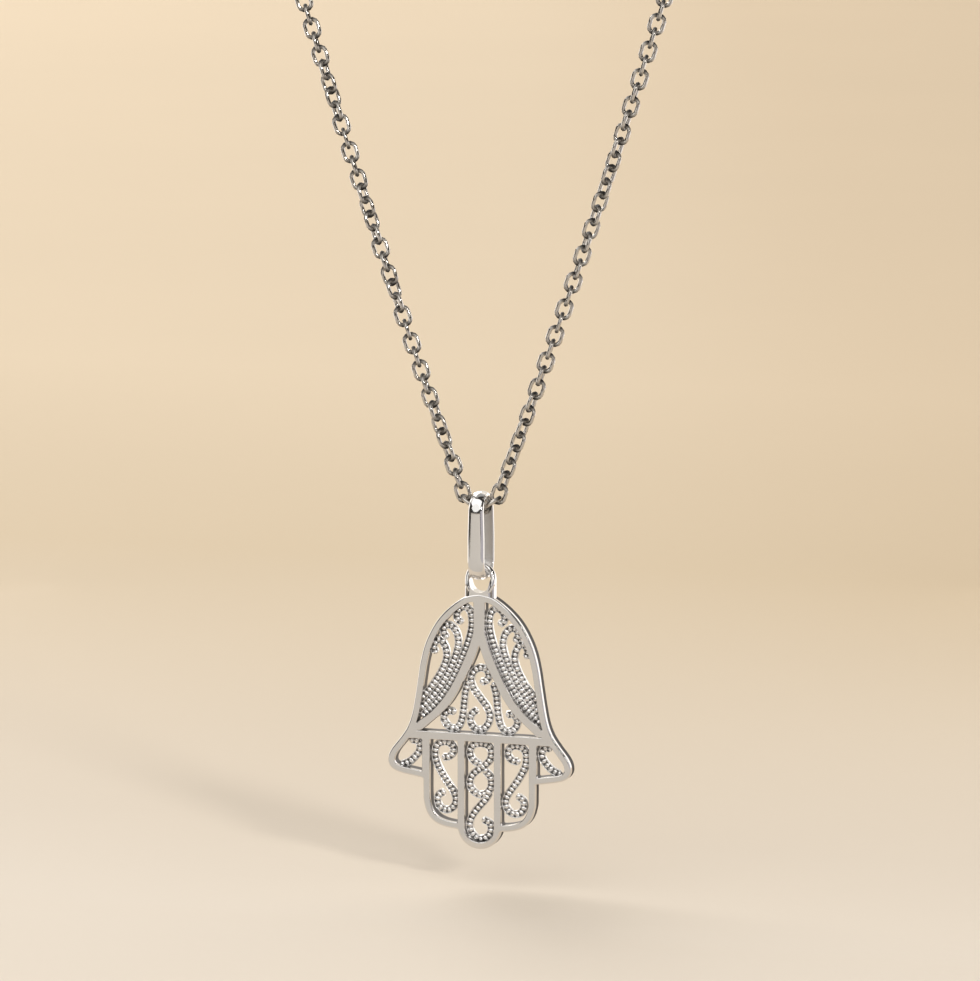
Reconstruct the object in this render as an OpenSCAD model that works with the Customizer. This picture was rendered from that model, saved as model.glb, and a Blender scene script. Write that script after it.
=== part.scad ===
// A silver pendant in the shape of an open hand, pierced and filled with beaded scrolls.
// It hangs from an oval bail on a cable chain. The chain is a whole closed loop, in the XZ plane.
// The origin is the top of that loop, where the chain lies on a neck or a rod. Millimetres, +Z up.

/* [Hand] */
// Thickness of the polished frame, front to back
hand_t = 1.25; // [1.1:0.05:1.5]
// Width of the rim round the outside of the frame
rim_w = 0.57; // [0.5:0.01:0.62]
// Diameter of the scroll wire, and so its depth in the frame
scroll_d = 0.62; // [0.58:0.01:0.66]
// Half the width of the middle finger
finger_r = 1.93; // [1.9:0.01:1.96]
// Radius of the solder fillets between scrolls and frame
fillet_r = 0.07; // [0.06:0.01:0.09]
// Width of the seam of solder that runs round each cell
seam_w = 0.04; // [0.03:0.01:0.05]

/* [Loop on the hand] */
// Radius of the loop, to the middle of its wire
loop_r = 1.1; // [1.09:0.01:1.15]
// Wire radius of the loop
loop_wire_r = 0.26; // [0.22:0.01:0.26]
// Height of the middle of the loop's upper arc above the tip of the hand
loop_h = 23.2; // [23.1:0.05:23.3]

/* [Bail] */
// Height of the bail, outside
bail_h = 7.6; // [7:0.1:8]
// Depth of the bail front to back, outside
bail_depth = 3.5; // [3:0.1:3.6]
// Widest part of the bail's band
bail_w = 1.46; // [1.3:0.02:1.46]
// Width of the band at the top, where it narrows
bail_top_w = 1.24; // [1.1:0.02:1.3]
// Thickness of the band at its middle
bail_t = 0.45; // [0.4:0.01:0.45]

/* [Chain] */
// Distance from one link to the next along the chain
link_pitch = 1.2; // [1.2:0.01:1.2]
// Length of the opening inside a link
link_inner_l = 1.32; // [1.31:0.01:1.34]
// Width of a link, outside
link_w = 1.45; // [1.42:0.01:1.5]
// Wire diameter of a link
link_wire_d = 0.3; // [0.28:0.01:0.3]
// Links on each side of the bail that hang nearly straight
hanging_links = 123; // [119:1:125]
// Links on each side of the bail that are built one by one
front_links = 60; // [40:1:80]

/* [Clasp] */
// Radius of the clasp's ring, to the middle of its tube
clasp_r = 2.2; // [2:0.1:2.4]
// Radius of the clasp's tube
clasp_tube_r = 0.5; // [0.45:0.05:0.5]

/* [Hidden] */
$fn = 48;
gap = 0.1;              // clearance between pieces that hang in each other
X = 0;                  // columns of every outline table below
Z = 1;

// Right half of the palm, from the crown down to the crook under the thumb: x, height above the tip
PALM = [
    [0.0, 21.95], [1.1, 21.72], [2.0, 21.18], [2.9, 20.42], [3.7, 19.5], [4.35, 18.4],
    [4.85, 17.2], [5.2, 15.8], [5.45, 14.2], [5.7, 12.6], [5.98, 11.2], [6.4, 10.1],
    [7.05, 9.15], [7.65, 8.4], [8.0, 7.75], [8.07, 7.1], [7.75, 6.55], [7.0, 6.22],
    [5.9, 6.02], [4.97, 5.86]
];
// Right outer finger, from under the thumb round its tip to the middle: x, height
OUTER_FINGER = [
    [4.95, 6.4], [4.95, 4.6], [4.88, 3.7], [4.6, 2.85], [4.05, 2.2], [3.3, 1.84],
    [2.4, 1.66], [1.5, 1.6]
];
// Right half of the arched brace: its outer edge, from the crown down to the rim
BRACE_OUT = [
    [0.5, 21.6], [0.5, 20.2], [0.5, 18.9], [0.72, 18.0], [1.03, 17.1], [1.48, 16.0],
    [1.94, 15.0], [2.46, 14.0], [3.1, 13.0], [3.92, 12.0], [4.7, 11.27], [5.35, 10.8], [6.1, 9.9]
];
// Right half of the arched brace: its inner edge, from the crotch down to the crossbar
BRACE_IN = [
    [0.0, 17.6], [0.3, 16.7], [0.64, 15.9], [1.04, 15.1], [1.52, 14.2], [2.05, 13.2],
    [2.72, 12.2], [3.5, 11.4], [4.3, 10.7], [5.1, 10.0]
];
bar_low = 9.25;         // crossbar under the triangle, lower and upper edge
bar_high = 9.95;
divider_in = 1.3;       // bars between the fingers, inner and outer edge
divider_out = 1.9;
side_in = 4.38;         // bars between outer finger and thumb
side_out = 5.05;
finger_z = finger_r + 0.02;
pad_top = 22.05;        // pad on the crown that the loop stands on

// Middle lines of the scrolls, x and height, each on the right half unless it says otherwise
FINGER_SCROLL = [
    [3.3, 7.68], [2.85, 7.72], [2.45, 8.1], [2.42, 8.6], [2.85, 8.98], [3.4, 8.98],
    [3.9, 8.65], [4.03, 8.0], [3.92, 7.3], [3.6, 6.6], [3.15, 5.85], [2.65, 5.15],
    [2.27, 4.5], [2.2, 3.9], [2.5, 3.35], [3.05, 3.12], [3.6, 3.35], [3.83, 3.9],
    [3.72, 4.4], [3.3, 4.65]
];
THUMB_SCROLL = [
    [6.95, 6.85], [6.3, 7.12], [5.83, 7.55], [5.45, 8.05], [5.37, 8.55], [5.63, 8.97],
    [6.12, 8.98]
];
SIDE_SCROLL = [
    [2.35, 11.65], [2.85, 11.7], [3.2, 11.35], [3.22, 10.85], [2.87, 10.4], [2.3, 10.2],
    [1.85, 10.55], [1.62, 11.2], [1.5, 12.0], [1.42, 12.8], [1.33, 13.5], [1.12, 14.2]
];
// These four are on the middle line or cross it
EIGHT_SCROLL = [
    [-0.05, 7.25], [-0.7, 7.6], [-0.95, 8.2], [-0.8, 8.75], [-0.35, 9.02], [0.35, 9.02],
    [0.8, 8.75], [0.95, 8.2], [0.75, 7.6], [0.3, 7.15], [-0.3, 6.7], [-0.8, 6.2],
    [-0.95, 5.6], [-0.75, 5.0], [-0.1, 4.62], [0.6, 4.85], [0.93, 5.5], [0.85, 6.2],
    [0.4, 6.7]
];
TIP_SCROLL = [
    [0.75, 4.85], [0.45, 4.3], [0.0, 3.75], [-0.45, 3.2], [-0.85, 2.55], [-0.98, 1.9],
    [-0.75, 1.2], [-0.1, 0.78], [0.62, 1.05], [0.92, 1.65], [0.8, 2.2], [0.25, 2.48]
];
HEART_SCROLL = [
    [0.1, 14.35], [0.5, 14.48], [0.74, 14.92], [0.56, 15.38], [0.1, 15.58],
    [-0.43, 15.4], [-0.78, 14.93], [-0.84, 14.35], [-0.65, 13.8], [-0.25, 13.25],
    [0.2, 12.7], [0.6, 12.15], [0.82, 11.55], [0.72, 10.9], [0.3, 10.35], [-0.2, 10.2],
    [-0.7, 10.48], [-0.92, 11.0], [-0.8, 11.55], [-0.35, 11.9]
];
// The three fronds that fill a petal, the longest beside the spine first
FRONDS = [
    [
        [5.1, 11.18], [4.8, 11.52], [4.08, 12.2], [3.31, 13.18], [2.68, 14.15],
        [2.18, 15.12], [1.75, 16.1], [1.28, 17.2], [1.0, 18.05], [0.79, 18.95],
        [0.78, 19.8], [0.95, 20.4], [1.42, 20.75], [1.88, 20.5], [2.12, 20.05],
        [2.03, 19.6], [1.7, 19.42]
    ], [
        [5.2, 11.9], [4.57, 12.5], [3.78, 13.49], [3.17, 14.43], [2.69, 15.35],
        [2.27, 16.33], [1.97, 17.4], [2.0, 18.1], [2.2, 18.65], [2.57, 19.03],
        [2.97, 19.08], [3.27, 18.82], [3.28, 18.4], [3.05, 18.05]
    ], [
        [5.1, 12.8], [4.24, 13.82], [3.66, 14.72], [3.21, 15.59], [2.98, 16.4],
        [3.08, 17.1], [3.35, 17.6], [3.7, 17.8], [4.02, 17.52], [4.15, 17.1], [4.0, 16.7]
    ]
];

// A smooth curve through the rows of a table, cut into a number of steps per row
function smooth(t, steps) = [
    for (i = [0 : len(t) - 2])
        let (a = t[max(i - 1, 0)], b = t[i], c = t[i + 1], d = t[min(i + 2, len(t) - 1)])
            for (k = [0 : steps - 1])
                let (u = k / steps)
                    0.5 * (2 * b + (c - a) * u + (2 * a - 5 * b + 4 * c - d) * u * u
                        + (3 * b - a - 3 * c + d) * u * u * u),
    t[len(t) - 1]
];
function flipped(t) = [for (i = [len(t) - 1 : -1 : 0]) [-t[i][X], t[i][Z]]];
function backwards(t) = [for (i = [len(t) - 1 : -1 : 0]) t[i]];

// A flat strip of width w with round ends along a path
module strip(path, w) {
    last = len(path) - 1;
    edge = [
        for (i = [0 : last])
            let (d = path[min(i + 1, last)] - path[max(i - 1, 0)])
                [-d[Z], d[X]] / norm(d) * w / 2
    ];
    polygon([
        for (i = [0 : last]) path[i] + edge[i],
        for (i = [last : -1 : 0]) path[i] - edge[i]
    ]);
    for (end = [path[0], path[last]]) translate(end) circle(d = w, $fn = 14);
}

module both_sides() {
    children();
    mirror([1, 0]) children();
}

module hand_outline() {
    palm = smooth(PALM, 3);
    finger = smooth(OUTER_FINGER, 3);
    corner_r = 0.15;
    offset(r = -corner_r) offset(delta = corner_r) {
        polygon(concat(palm, flipped(palm)));
        polygon(concat(finger, flipped(finger)));
        translate([0, finger_z]) circle(finger_r);
    }
}

// The part of the crown that the loop stands on
module pad() {
    pad_w = 2 * (loop_r + loop_wire_r);
    translate([-pad_w / 2, pad_top - 0.6]) square([pad_w, 0.6]);
}

module bars() {
    brace = concat(smooth(BRACE_OUT, 3), backwards(smooth(BRACE_IN, 3)));
    polygon(concat(brace, flipped(brace)));
    translate([-PALM[15][X], bar_low]) square([2 * PALM[15][X], bar_high - bar_low]);
    both_sides() {
        translate([divider_in, 0]) square([divider_out - divider_in, bar_high]);
        translate([side_in, 5.5]) square([side_out - side_in, bar_high - 5.5]);
    }
}

module cells() {
    round_r = 0.08;
    offset(r = round_r) offset(delta = -round_r) difference() {
        offset(delta = -rim_w) hand_outline();
        bars();
    }
}

module frame_plan() {
    difference() {
        union() {
            hand_outline();
            pad();
        }
        cells();
    }
}

module scroll_plan() {
    core_w = scroll_d - 2 * seam_w;
    both_sides() {
        for (t = concat([FINGER_SCROLL, THUMB_SCROLL, SIDE_SCROLL], FRONDS))
            strip(smooth(t, 2), core_w);
    }
    for (t = [EIGHT_SCROLL, TIP_SCROLL, HEART_SCROLL]) strip(smooth(t, 2), core_w);
}

// The scrolls soldered into the frame, with a seam of solder round each cell
module filled_plan() {
    intersection() {
        offset(delta = -rim_w / 2) hand_outline();
        offset(delta = -fillet_r) offset(r = fillet_r + seam_w, $fn = 12) {
            frame_plan();
            scroll_plan();
        }
    }
}

// Stands a plan up in the XZ plane with thickness t, half on each side of it
module upright(t) {
    rotate([90, 0, 0]) translate([0, 0, -t / 2]) linear_extrude(t) children();
}

// Half a ring of round wire in the XZ plane, from +X over the top to -X
module half_ring(r, wire_r) {
    rotate([90, 0, 0]) rotate_extrude(angle = 180) translate([r, 0]) circle(wire_r);
}

// A ring of round wire in the XZ plane: two half circles of radius r, joined by straight wire
module oval_ring(r, straight, wire_r) {
    for (turn = [0, 180]) rotate([0, turn, 0]) {
        translate([0, 0, straight / 2]) half_ring(r, wire_r);
        if (straight > 0)
            translate([r, 0, -straight / 2]) cylinder(r = wire_r, h = straight);
    }
}

// Middle line of the chain. Link 0 lies across the bail, and the two links on each side of it
// bend up. The rest hang in a catenary, drawn steep by the pendant's weight, and close over the
// top in an arc.
sag_a = 84;                 // catenary: horizontal pull over weight per length
sag_s0 = 227;               // catenary: length of chain that would weigh as much as half the pendant
// Middles of links 1 and 2, measured from link 0: x, height, slope above the level in degrees
BENT_LINKS = [[0.975, 0.308, 34.9], [1.585, 1.106, 70.7]];
SLOPE = 2;
function asinh(v) = ln(v + sqrt(v * v + 1));
function hang(s) = [
    sag_a * (asinh((s + sag_s0) / sag_a) - asinh(sag_s0 / sag_a)),
    sqrt(sag_a ^ 2 + (s + sag_s0) ^ 2) - sqrt(sag_a ^ 2 + sag_s0 ^ 2)
];
last_bent = BENT_LINKS[1];
hang_start = [last_bent[X], last_bent[Z]]
    + link_pitch / 2 * [cos(last_bent[SLOPE]), sin(last_bent[SLOPE])];
hang_l = (hanging_links - 2) * link_pitch;
hang_end = hang_start + hang(hang_l);
lean = atan(sag_a / (hang_l + sag_s0));     // of the chain from the vertical, where the arc starts
arc_r = hang_end[X] / cos(lean);
arc_z = hang_end[Z] + arc_r * sin(lean);    // height of the arc's centre above link 0
arc_l = arc_r * (90 + lean) * PI / 180;
top_z = arc_z + arc_r;
link_z = -top_z;                            // height of link 0 in the part's frame

// Point of the middle line a length s from the far end of link 2
function on_chain(s) = s <= hang_l ? hang_start + hang(s)
    : let (a = (s - hang_l) / arc_r * 180 / PI - lean) [arc_r * cos(a), arc_z + arc_r * sin(a)];
// Middle of link i on the right side, and its slope above the level: x, height, degrees
function link_place(i) = i == 0 ? [0, 0, 0] : i <= 2 ? BENT_LINKS[i - 1]
    : let (low = on_chain((i - 3) * link_pitch), high = on_chain((i - 2) * link_pitch),
        middle = (low + high) / 2, way = high - low)
        [middle[X], middle[Z], atan2(way[Z], way[X])];

// How far the chain has twisted about itself, by link, as it hangs: degrees
TWIST_RIGHT = [
    [0, 0], [2, 0], [3, -17], [4, -25], [6, -25], [8, -16], [10, -2], [12, 6], [15, 14],
    [18, 18], [20, 28], [23, 38], [24, 42], [26, 60], [28, 74], [30, 86], [33, 98], [36, 106],
    [60, 107]
];
TWIST_LEFT = [
    [0, 0], [2, 0], [3, 8], [4, 22], [5, 43], [6, 58], [7, 70], [9, 92], [11, 105], [15, 110],
    [16, 130], [18, 176], [20, 200], [22, 238], [24, 262], [26, 285], [29, 292], [30, 311],
    [32, 341], [34, 368], [36, 376], [60, 377]
];

module link(i, side) {
    place = link_place(i);
    twist = lookup(i, side > 0 ? TWIST_RIGHT : TWIST_LEFT);
    wire_r = link_wire_d / 2;
    translate([side * place[X], 0, link_z + place[Z]])
        rotate([0, side * (90 - place[SLOPE]), 0])
            rotate([0, 0, (i % 2) * 90 + twist])
                oval_ring(link_w / 2 - wire_r, link_inner_l + link_wire_d * 2 - link_w, wire_r);
}

module chain_front() {
    color("lightslategray") {
        link(0, 1);
        for (side = [-1, 1], i = [1 : front_links]) link(i, side);
    }
}

// The rest of the chain as one plain tube on each side, as wide as the links
tube_sides = 8;
clasp_ring_x = -1.15;           // middle of the clasp's ring, left of the middle of the loop
eye_r = 0.75;                   // eye that joins the clasp to the chain
eye_wire_r = 0.25;
end_r = 1.35;                   // ring at the other end of the chain
end_wire_r = 0.3;
eye_x = clasp_ring_x - clasp_r - clasp_tube_r - eye_r + 0.1;
end_x = clasp_ring_x + clasp_r - clasp_tube_r - gap - end_wire_r + end_r;
left_back_l = hang_l + arc_l + eye_x - eye_r - eye_wire_r - gap;
right_back_l = hang_l + arc_l - end_x - end_r - end_wire_r - gap;
link_overhang = link_inner_l / 2 + link_wire_d - link_pitch / 2;
back_from = (front_links - 2) * link_pitch + link_overhang + gap;

module back_tube(to_l, side) {
    rings = 38;
    step_l = (to_l - back_from) / (rings - 1);
    turn = 360 / tube_sides;
    points = [
        for (i = [0 : rings - 1])
            let (s = back_from + i * step_l, p = on_chain(s), q = on_chain(s + 0.01) - on_chain(s - 0.01),
                way = q / norm(q))
                for (k = [0 : tube_sides - 1])
                    let (out = link_w / 2 * cos(k * turn), deep = link_w / 2 * sin(k * turn))
                        [side * (p[X] + out * way[Z]), deep, link_z + p[Z] - out * way[X]]
    ];
    walls = [
        for (i = [0 : rings - 2], k = [0 : tube_sides - 1])
            let (a = i * tube_sides + k, b = i * tube_sides + (k + 1) % tube_sides)
                each [[a, b, b + tube_sides], [a, b + tube_sides, a + tube_sides]]
    ];
    first = [for (k = [tube_sides - 1 : -1 : 0]) k];
    last = [for (k = [0 : tube_sides - 1]) (rings - 1) * tube_sides + k];
    outward = concat([first], walls, [last]);
    polyhedron(points, side > 0 ? outward : [for (f = outward) [for (j = [len(f) - 1 : -1 : 0]) f[j]]]);
}

module chain_back() {
    color("lightslategray") {
        back_tube(right_back_l, 1);
        back_tube(left_back_l, -1);
    }
}

module clasp() {
    color("silver") {
        translate([clasp_ring_x, 0, 0]) oval_ring(clasp_r, 0, clasp_tube_r);
        translate([eye_x, 0, 0]) oval_ring(eye_r, 0, eye_wire_r);
    }
}

module end_ring() {
    color("silver") translate([end_x, 0, 0]) rotate([90, 0, 0]) oval_ring(end_r, 0, end_wire_r);
}

// Bail: a band bent into a long oval, domed outside, that hangs on link 0
bail_in_r = bail_depth / 2 - bail_t;
bail_straight = bail_h - bail_depth;
bail_top = link_z + link_w / 2 + gap;               // inside of its upper end
bail_mid = bail_top - bail_in_r - bail_straight / 2;
bail_floor = bail_mid - bail_straight / 2 - bail_in_r;

module bail_section() {
    edge_t = 0.28;          // thickness of the band at its edges
    rise = bail_t - edge_t;
    dome_r = (bail_w * bail_w / 4 + rise * rise) / (2 * rise);
    intersection() {
        translate([bail_in_r, -bail_w / 2]) square([bail_t, bail_w]);
        translate([bail_in_r + bail_t - dome_r, 0]) circle(dome_r, $fn = 180);
    }
}

// Front view of the bail: it narrows towards the top, and its lower corners are cut off
module bail_front() {
    corner = 0.3;
    half = bail_w / 2 + 0.01;
    polygon([
        [half - corner, -bail_h / 2 - 0.01], [half, -bail_h / 2 + corner], [half, 0],
        [bail_top_w / 2, bail_h / 2 + 0.01], [-bail_top_w / 2, bail_h / 2 + 0.01], [-half, 0],
        [-half, -bail_h / 2 + corner], [corner - half, -bail_h / 2 - 0.01]
    ]);
}

module bail_band() {
    rotate([0, 0, 90]) for (turn = [0, 180]) rotate([0, turn, 0]) {
        translate([0, 0, bail_straight / 2])
            rotate([90, 0, 0]) rotate_extrude(angle = 180) bail_section();
        translate([0, 0, -bail_straight / 2]) linear_extrude(bail_straight) bail_section();
    }
}

module bail() {
    color("gainsboro") translate([0, 0, bail_mid]) intersection() {
        bail_band();
        upright(bail_depth + 1) bail_front();
    }
}

// The hand's loop hangs in the bail and touches it at the edges of the band
loop_touch = sqrt((loop_r - loop_wire_r) ^ 2 - (bail_w / 2) ^ 2);
hand_z = bail_floor + gap - loop_touch - loop_h;    // height of the tip of the hand

module hand() {
    leg_foot = 21.35;       // lower end of the loop's legs, inside the crown
    color("gainsboro") translate([0, 0, hand_z]) {
        upright(hand_t) frame_plan();
        upright(scroll_d) filled_plan();
        translate([0, 0, loop_h]) half_ring(loop_r, loop_wire_r);
        for (x = [-loop_r, loop_r])
            translate([x, 0, leg_foot]) cylinder(r = loop_wire_r, h = loop_h - leg_foot);
    }
}

hand();
bail();
chain_front();
chain_back();
clasp();
end_ring();
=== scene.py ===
# %% [markdown]
# # A silver hand pendant on a cable chain
# The pendant is a small pierced hand. Beaded scrolls are soldered into its cells, a wire loop
# stands on its crown, an oval bail hangs in the loop, and a fine cable chain runs through the bail.
# This lesson dresses the rigid model with finished surfaces, then sets up the camera and the
# lights. The first cell loads the rigid model.

from math import asinh, atan, atan2, cos, degrees, hypot, pi, radians, sin, sqrt

import bpy
import numpy as np
from mathutils import Euler, Matrix, Vector
from mathutils.geometry import delaunay_2d_cdt, tessellate_polygon


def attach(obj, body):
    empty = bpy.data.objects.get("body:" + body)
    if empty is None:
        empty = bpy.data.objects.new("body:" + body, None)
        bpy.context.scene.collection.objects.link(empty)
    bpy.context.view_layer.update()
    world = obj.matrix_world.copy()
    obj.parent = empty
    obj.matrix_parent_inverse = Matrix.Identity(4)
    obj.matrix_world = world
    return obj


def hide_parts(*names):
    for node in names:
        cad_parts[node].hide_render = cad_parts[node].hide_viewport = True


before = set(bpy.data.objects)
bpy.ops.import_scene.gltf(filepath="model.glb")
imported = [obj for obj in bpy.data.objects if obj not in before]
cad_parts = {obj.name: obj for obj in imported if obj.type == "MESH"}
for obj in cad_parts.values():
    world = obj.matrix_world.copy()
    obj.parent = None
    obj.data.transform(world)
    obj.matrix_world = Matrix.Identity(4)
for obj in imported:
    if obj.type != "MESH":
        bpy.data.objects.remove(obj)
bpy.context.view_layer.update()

# %% [markdown]
# ## Sizes
# A goldsmith works in millimetres, and Blender works in metres. Every size here is in millimetres,
# and one factor turns it into metres when a mesh is made. Heights on the hand are measured from the
# tip of its middle finger.

# %% Sizes of the hand, the loop and the bail
MM = 0.001
HAND_T = 1.25
RIM_W = 0.57
FINGER_R = 1.93
LOOP_R = 1.1
LOOP_WIRE_R = 0.26
LOOP_H = 23.2
BAIL_H = 7.6
BAIL_DEPTH = 3.5
BAIL_W = 1.46
BAIL_TOP_W = 1.24
BAIL_T = 0.45
GAP = 0.1

# %% Sizes of the chain
LINK_PITCH = 1.2
LINK_INNER_L = 1.32
LINK_W = 1.45
LINK_WIRE_D = 0.3
HANGING_LINKS = 123
FRONT_LINKS = 60
CLASP_R = 2.2
CLASP_TUBE_R = 0.5

# %% [markdown]
# ## The line that the chain hangs on
# A chain that carries a pendant hangs in a catenary, and the pendant's weight makes it steep. Above
# the strands the closed chain goes round a neck, drawn as a plain arc. Link 0 lies across the
# inside of the bail, and the two links on each side of it bend up sharply, so their places are
# given one by one. Everything below hangs from this line, so it comes first.

# %% Middle line of the chain
SAG_A = 84.0
SAG_S0 = 227.0
BENT_LINKS = [(0.975, 0.308, 34.9), (1.585, 1.106, 70.7)]


def hang(s):
    """Point of the catenary a length s above its start."""
    x = SAG_A * (asinh((s + SAG_S0) / SAG_A) - asinh(SAG_S0 / SAG_A))
    z = hypot(SAG_A, s + SAG_S0) - hypot(SAG_A, SAG_S0)
    return Vector((x, z))


last_x, last_z, last_slope = BENT_LINKS[-1]
way_up = Vector((cos(radians(last_slope)), sin(radians(last_slope))))
hang_start = Vector((last_x, last_z)) + way_up * LINK_PITCH / 2
HANG_L = (HANGING_LINKS - 2) * LINK_PITCH
hang_end = hang_start + hang(HANG_L)
LEAN = atan(SAG_A / (HANG_L + SAG_S0))
ARC_R = hang_end.x / cos(LEAN)
ARC_Z = hang_end.y + ARC_R * sin(LEAN)
ARC_L = ARC_R * (pi / 2 + LEAN)
LINK_Z = -(ARC_Z + ARC_R)


def on_chain(s):
    """Point of the middle line a length s from the far end of link 2: x, height above link 0."""
    if s <= HANG_L:
        return hang_start + hang(s)
    a = (s - HANG_L) / ARC_R - LEAN
    return Vector((ARC_R * cos(a), ARC_Z + ARC_R * sin(a)))


print("link 0 lies", round(-LINK_Z, 2), "mm under the top of the chain")

# %% Heights of the bail and the hand
bail_in_r = BAIL_DEPTH / 2 - BAIL_T
bail_straight = BAIL_H - BAIL_DEPTH
bail_top = LINK_Z + LINK_W / 2 + GAP
bail_mid = bail_top - bail_in_r - bail_straight / 2
bail_floor = bail_mid - bail_straight / 2 - bail_in_r
loop_touch = sqrt((LOOP_R - LOOP_WIRE_R) ** 2 - (BAIL_W / 2) ** 2)
HAND_Z = bail_floor + GAP - loop_touch - LOOP_H
print("the tip of the hand is at", round(HAND_Z, 3), "mm")

# %% [markdown]
# ## Nodes written as sums
# Materials and repeated shapes are both made with nodes. A node tree is easier to read when it is
# written like a formula, so a small class stands for one wire of the tree. Adding or multiplying
# two wires puts down the Math node that does it. Every other node comes from one method, which sets
# the node's own settings first and then fills or joins its sockets.

# %% A wire and a tree
class Wire:
    """One value that runs through a node tree."""

    def __init__(self, nodes, socket):
        self.nodes = nodes
        self.socket = socket

    def maths(self, operation, first, second):
        return self.nodes.add("ShaderNodeMath", {"operation": operation}, {0: first, 1: second})

    def __add__(self, other):
        return self.maths("ADD", self, other)

    def __sub__(self, other):
        return self.maths("SUBTRACT", self, other)

    def __mul__(self, other):
        return self.maths("MULTIPLY", self, other)

    def __rsub__(self, other):
        return self.maths("SUBTRACT", other, self)


class Nodes:
    """A node tree while it is being written."""

    def __init__(self, tree):
        self.tree = tree

    def add(self, kind, settings=None, values=None, out=0):
        """Adds one node and returns the wire that leaves it."""
        node = self.tree.nodes.new(kind)
        for key, value in (settings or {}).items():
            if key == "stops":
                stops = node.color_ramp.elements
                stops[0].position, stops[0].color = value[0]
                stops[1].position, stops[1].color = value[-1]
                for place, colour in value[1:-1]:
                    stops.new(place).color = colour
            else:
                setattr(node, key, value)
        for key, value in (values or {}).items():
            several = value if isinstance(value, list) else [value]
            for one in several:
                if isinstance(one, Wire):
                    self.tree.links.new(one.socket, node.inputs[key])
                else:
                    node.inputs[key].default_value = one
        return Wire(self, node.outputs[out]) if len(node.outputs) else None

    def along_axis(self, vector, axis):
        """One coordinate of a vector."""
        return self.add("ShaderNodeSeparateXYZ", None, {"Vector": vector}, axis)

    def eased(self, value, low, high):
        """0 below low, 1 above high, and a smooth rise between them."""
        return self.add("ShaderNodeMapRange", {"interpolation_type": "SMOOTHSTEP"},
                        {"Value": value, "From Min": low, "From Max": high})

    def mixed(self, share, first, second, blend="MIX"):
        """A colour between two, or their product. Each is a wire or three numbers."""
        first, second = [one if isinstance(one, Wire) else (*one, 1) for one in (first, second)]
        return self.add("ShaderNodeMix", {"data_type": "RGBA", "blend_type": blend},
                        {0: share, 6: first, 7: second}, 2)


print("nodes can be written as sums")

# %% [markdown]
# ## Silver
# The pendant is silver under a thin bright plating. Such metal is a mirror, and its colour is what
# stands round it, so most of its look comes from the lights. The finish itself adds three things:
# hairlines from the polishing cloth that soften the mirror, the slight waviness of a cast and
# hand-polished face, and a faint unevenness of tone. All three are noise in millimetres of the
# object, so they have the same size on every piece.
# Sawn walls and the inside of the bail are never polished as a face is, and they and the ends of
# links, where the links meet and tarnish, are darkened with painted shade, a nearly black colour.
# The pieces mark them with an attribute, from 0 where the silver is bright to 1 where it is dull
# and darkest.

# %% What every finish starts from
def blank(name):
    """A material without nodes, and the tree to write its nodes in."""
    material = bpy.data.materials.new(name)
    material.use_nodes = True
    material.node_tree.nodes.clear()
    return material, Nodes(material.node_tree)


def surface(nodes, values):
    """Ends a finish with one shader, from the values or wires of its sockets."""
    shader = nodes.add("ShaderNodeBsdfPrincipled", None, values)
    nodes.add("ShaderNodeOutputMaterial", None, {"Surface": shader})


def marked_on(nodes, name):
    """The value that a piece keeps on its points under a name."""
    return nodes.add("ShaderNodeAttribute", {"attribute_name": name}, None, "Fac")


def bumpy(nodes, height):
    """The direction of a surface that rises and falls by a height in millimetres."""
    return nodes.add("ShaderNodeBump", None, {"Height": height, "Distance": MM, "Strength": 1.0})


def millimetres(nodes, stretch=(1, 1, 1)):
    """The place on the object in millimetres, stretched to turn spots into lines."""
    place = nodes.add("ShaderNodeTexCoord", out="Object")
    scale = tuple(1 / MM / k for k in stretch)
    return nodes.add("ShaderNodeMapping", None, {"Vector": place, "Scale": scale})


def speckle(nodes, place, size, detail=2.0):
    """Noise between 0 and 1 with spots of a size in millimetres."""
    return nodes.add("ShaderNodeTexNoise", {"noise_dimensions": "3D"},
                     {"Vector": place, "Scale": 1 / size, "Detail": detail}, "Fac")


print("a finish starts blank and ends with one shader")

# %% Silver with its hairlines
# Nearly black tones of painted shade: for sawn walls and the inside of the bail, and for the ends
# of chain links where they meet.
WALL_SHADE_TONE = (0.045, 0.038, 0.036)
JOINT_SHADE_TONE = (0.012, 0.010, 0.009)
WALL_ROUGH, HAIRLINE_ROUGH, CLOUD_ROUGH = 0.4, 0.05, 0.04
WALL_SHINE, CLOUD_SHARE = 0.2, 0.5
CLOUD_SIZE, WAVE_SIZE = 1.6, 2.4
HAIRLINE_SIZE, HAIRLINE_STRETCH = 0.05, 9


def silver(name, tone, dark, rough, wave, hairline, shade_tone=WALL_SHADE_TONE):
    """Silver with a tone and a darker tone for its clouds, the depth of its waves and hairlines,
    and a tone of painted shade where the pieces mark it.
    """
    material, nodes = blank(name)
    place = millimetres(nodes)
    cloudy = speckle(nodes, place, CLOUD_SIZE)
    lines = speckle(nodes, millimetres(nodes, (1, 1, HAIRLINE_STRETCH)), HAIRLINE_SIZE, 1.0)
    uneven = speckle(nodes, place, WAVE_SIZE, 1.0)
    # The mark on the points mixes in the nearly black tone of painted shade and makes the silver
    # dull.
    wall = marked_on(nodes, "wall")
    surface(nodes, {
        "Base Color": nodes.mixed(wall, nodes.mixed(cloudy * CLOUD_SHARE, tone, dark), shade_tone),
        "Metallic": 1.0 - wall, "Specular IOR Level": WALL_SHINE,
        "Roughness": lines * HAIRLINE_ROUGH + cloudy * CLOUD_ROUGH + wall * WALL_ROUGH + rough,
        "Normal": bumpy(nodes, uneven * wave + lines * hairline)})
    return material


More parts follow.
